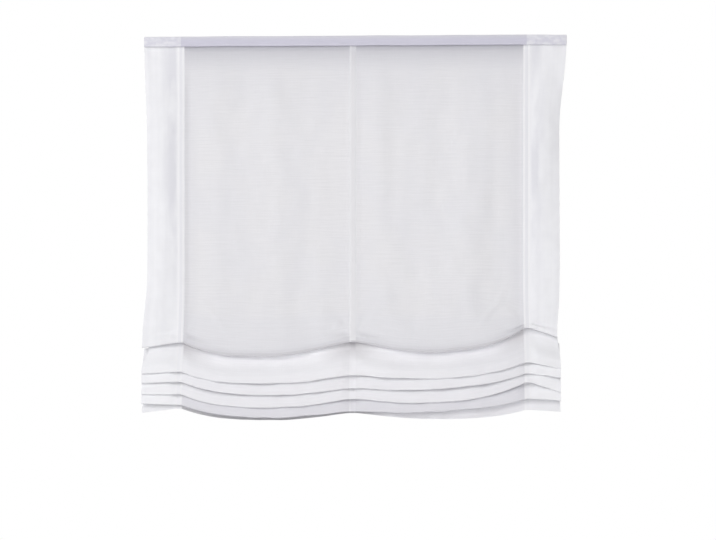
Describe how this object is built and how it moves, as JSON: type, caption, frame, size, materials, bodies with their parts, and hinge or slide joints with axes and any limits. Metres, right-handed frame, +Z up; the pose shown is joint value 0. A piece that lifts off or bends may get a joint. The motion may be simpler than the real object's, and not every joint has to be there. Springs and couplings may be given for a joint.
{
  "type": "roman blind",
  "caption": "Sheer cloth roman blind, partly raised into stacked swag folds, hung from a slim chain-driven head rail on wall brackets.",
  "frame": {"origin": "middle of the four wall screw holes of the two brackets, on the wall plane", "axes": "+X along the rail to the viewer's right, +Y into the wall, +Z up"},
  "size_m": [1, 0.0893, 0.9098],
  "materials": {
    "rail": "white powder coat",
    "cloth": "sheer slub voile",
    "tape": "woven tape",
    "ring": "moulded",
    "cord": "braided",
    "shaft": "drawn",
    "steel": "zinc and white paint",
    "plastic": "moulded"
  },
  "bodies": {
    "blind": {"head_rail": "rail", "blind_cloth": "cloth", "loop_tape": "tape", "hook_tape": "tape", "lift_tape_left": "tape", "lift_tape_centre": "tape", "lift_tape_right": "tape", "lift_rings_left": "ring", "lift_rings_centre": "ring", "lift_rings_right": "ring", "lift_cord_left": "cord", "lift_cord_centre": "cord", "lift_cord_right": "cord", "bracket_left": "steel", "bracket_right": "steel", "latch_rivet_left": "steel", "latch_rivet_right": "steel", "drive_housing": "plastic", "drive_cover": "plastic", "end_cap": "plastic", "spool_cradle_left": "plastic", "spool_cradle_centre": "plastic", "spool_cradle_right": "plastic", "cord_stop_left": "plastic", "cord_stop_centre": "plastic", "cord_stop_right": "plastic"},
    "drive": {"drive_shaft": "shaft", "chain_wheel": "plastic", "brake_spring": "steel", "spool_left": "plastic", "spool_centre": "plastic", "spool_right": "plastic", "cord_wrap_left": "cord", "cord_wrap_centre": "cord", "cord_wrap_right": "cord"},
    "left_latch": {"latch_left": "plastic"},
    "right_latch": {"latch_right": "plastic"}
  },
  "joints": [
    {"name": "shaft_turn", "type": "hinge", "parent": "blind", "child": "drive", "pos_m": [0, -0.028, -0.0032], "axis": [-1, 0, 0], "range_deg": [-6400, 7020]},
    {"name": "left_latch_turn", "type": "hinge", "parent": "blind", "child": "left_latch", "pos_m": [-0.38, -0.023, 0.01], "axis": [0, 0, 1], "range_deg": [0, 90]},
    {"name": "right_latch_turn", "type": "hinge", "parent": "blind", "child": "right_latch", "pos_m": [0.38, -0.023, 0.01], "axis": [0, 0, 1], "range_deg": [0, 90]}
  ]
}
